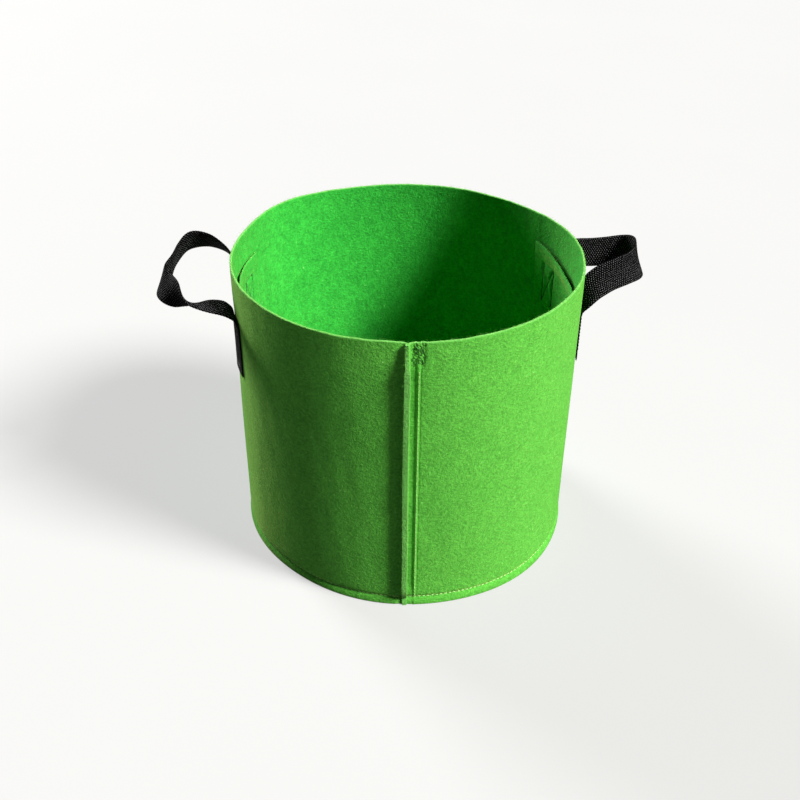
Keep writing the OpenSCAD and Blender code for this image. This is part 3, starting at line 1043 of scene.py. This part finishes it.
def handle_stitches(name, turn, seed):
    """The stitched boxes of one handle, on its sewn ends and on the patch behind them."""
    rows = []
    for side in (-1, 1):
        rows += box_rows(turn, side, lambda a, z: outer_face(a, z) + LAYER_GAP + WEB_THICK - 0.1,
                         1.0)
        rows += box_rows(turn, side, lambda a, z: inner_face(a, z, 0.2), -1.0)
    return sewn(name, rows, black_thread, 3.0, thread=0.34, arch=0.28, seed=seed)


left_stitches = handle_stitches("left_handle_stitches", LEFT_TURN, 11)
right_stitches = handle_stitches("right_handle_stitches", RIGHT_TURN, 12)


def fuzz_source():
    """The cut edges: the rim and the flap's tips."""
    mesh = wall.data
    cut = np.zeros(len(mesh.vertices), np.float32)
    mesh.attributes["cut"].data.foreach_get("value", cut)
    place = np.zeros(len(mesh.vertices) * 3, np.float32)
    mesh.vertices.foreach_get("co", place)
    place = place.reshape(-1, 3)
    keep = [p.vertices[:] for p in mesh.polygons
            if min(cut[v] for v in p.vertices) > 0.7 and place[p.vertices[0]][2] > 0.02]
    source = bpy.data.meshes.new("cut_edges")
    source.from_pydata(place.tolist(), [], keep)
    return source


rim_fuzz = grown("cut_edge_fuzz", fuzz_source(), FUZZ, felt, Density=700000.0, Length=0.0024,
                 Fibre=0.00004, Seed=3)
point_values(rim_fuzz, "inside", np.zeros(len(rim_fuzz.data.vertices)))
point_values(rim_fuzz, "cut", np.full(len(rim_fuzz.data.vertices), 0.9))

# ---------------------------------------------------------------- bodies, nodes and webbing blend weights
for piece, nodes, finish in (
    (wall, ("wall_panel",), "felt"),
    (base, ("base_panel",), "felt"),
    (left_patch, ("left_inner_patch",), "felt"),
    (right_patch, ("right_inner_patch",), "felt"),
    (seam_stitches, ("side_seam_thread",), "seam_thread"),
    (ridge_stitches, (), "seam_thread"),
    (tack_stitches, ("rim_bar_tack",), "seam_thread"),
    (base_stitches, ("base_seam_thread",), "seam_thread"),
    (left_stitches, ("left_handle_stitching",), "handle_thread"),
    (right_stitches, ("right_handle_stitching",), "handle_thread"),
    (rim_fuzz, (), "felt"),
):
    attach(piece, "root")
    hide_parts(*nodes)

for strap, side, turn in ((left_strap, "left", LEFT_TURN), (right_strap, "right", RIGHT_TURN)):
    out, _ = handle_axes(turn)
    fold = UP * FOLD_HEIGHT / 1000
    start, end = (out * r * 0.001 + fold for r in (BLEND_FROM, BLEND_TO))
    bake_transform(strap, "root", side + "_handle", start=tuple(start), end=tuple(end))
    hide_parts(side + "_front_strap_end", side + "_rear_strap_end", side + "_handle_loop")

# ---------------------------------------------------------------- studio
floor_shader = Shader("pale_floor", roughness=0.9, specular=0.1)
grain = floor_shader.noise(floor_shader.place(), 3.0, 2.0)
pale = floor_shader.blend(grain, (0.175, 0.175, 0.175), (0.185, 0.185, 0.185))
bounced = floor_shader.node("ShaderNodeLightPath").outputs["Is Diffuse Ray"]
floor_material = floor_shader.finish(floor_shader.blend(bounced, pale, (0.16, 0.16, 0.16)))
seen_floor = floor_shader.node("ShaderNodeLightPath").outputs["Is Camera Ray"]
floor_shader.surface.inputs["Emission Color"].default_value = (1.0, 1.0, 0.99, 1.0)
floor_shader.link(floor_shader.math("MULTIPLY", seen_floor, 0.5),
                  floor_shader.surface.inputs["Emission Strength"])
size = 12000.0
corners = [(x * size, y * size, -0.05) for x, y in ((-1, -1), (1, -1), (1, 1), (-1, 1))]
floor = new_piece("floor", corners, [(0, 1, 2, 3)], floor_material, smooth=False)


def lamp(name, azimuth, elevation, spread, strength, colour=(1.0, 1.0, 1.0)):
    """A soft, even light from far away; spread is how wide it looks, in degrees."""
    a, e = math.radians(azimuth), math.radians(elevation)
    towards = Vector((math.sin(a) * math.cos(e), -math.cos(a) * math.cos(e), math.sin(e)))
    light = bpy.data.lights.new(name, "SUN")
    light.angle, light.energy, light.color = math.radians(spread), strength, colour
    holder = in_scene(name, light)
    holder.location = 3.0 * towards
    holder.rotation_euler = (-towards).to_track_quat("-Z", "Y").to_euler()


lamp("key", 66, 40, 17.0, 8.6, (1.0, 0.985, 0.95))
lamp("rim", -137, 24, 22.0, 5.2)
world = bpy.data.worlds.new("studio")
world.use_nodes = True
backdrop = world.node_tree
sky = backdrop.nodes["Background"]
seen = backdrop.nodes.new("ShaderNodeLightPath")
strength = backdrop.nodes.new("ShaderNodeMapRange")
strength.inputs["To Min"].default_value = 0.025
strength.inputs["To Max"].default_value = 0.93
backdrop.links.new(seen.outputs["Is Camera Ray"], strength.inputs["Value"])
backdrop.links.new(strength.outputs["Result"], sky.inputs["Strength"])
sky.inputs["Color"].default_value = (1.0, 1.0, 1.0, 1.0)
bpy.context.scene.world = world
bpy.context.scene.view_settings.view_transform = "Standard"

# ---------------------------------------------------------------- camera
target = Vector((-0.0054, 0.0, 0.1127))
elevation, roll, distance = math.radians(33.96), math.radians(0.57), 0.9621
place = target + distance * Vector((0.0, -math.cos(elevation), math.sin(elevation)))
forward = (target - place).normalized()
right = Vector((1.0, 0.0, 0.0))
up = right.cross(forward)
tilted_right = right * math.cos(roll) + up * math.sin(roll)
tilted_up = up * math.cos(roll) - right * math.sin(roll)
camera = in_scene("camera", bpy.data.cameras.new("camera"))
camera.data.sensor_width = 36.0
camera.data.lens = 46.57
rows = [(tilted_right[k], tilted_up[k], -forward[k], place[k]) for k in range(3)]
camera.matrix_world = Matrix((*rows, (0.0, 0.0, 0.0, 1.0)))
bpy.context.scene.camera = camera
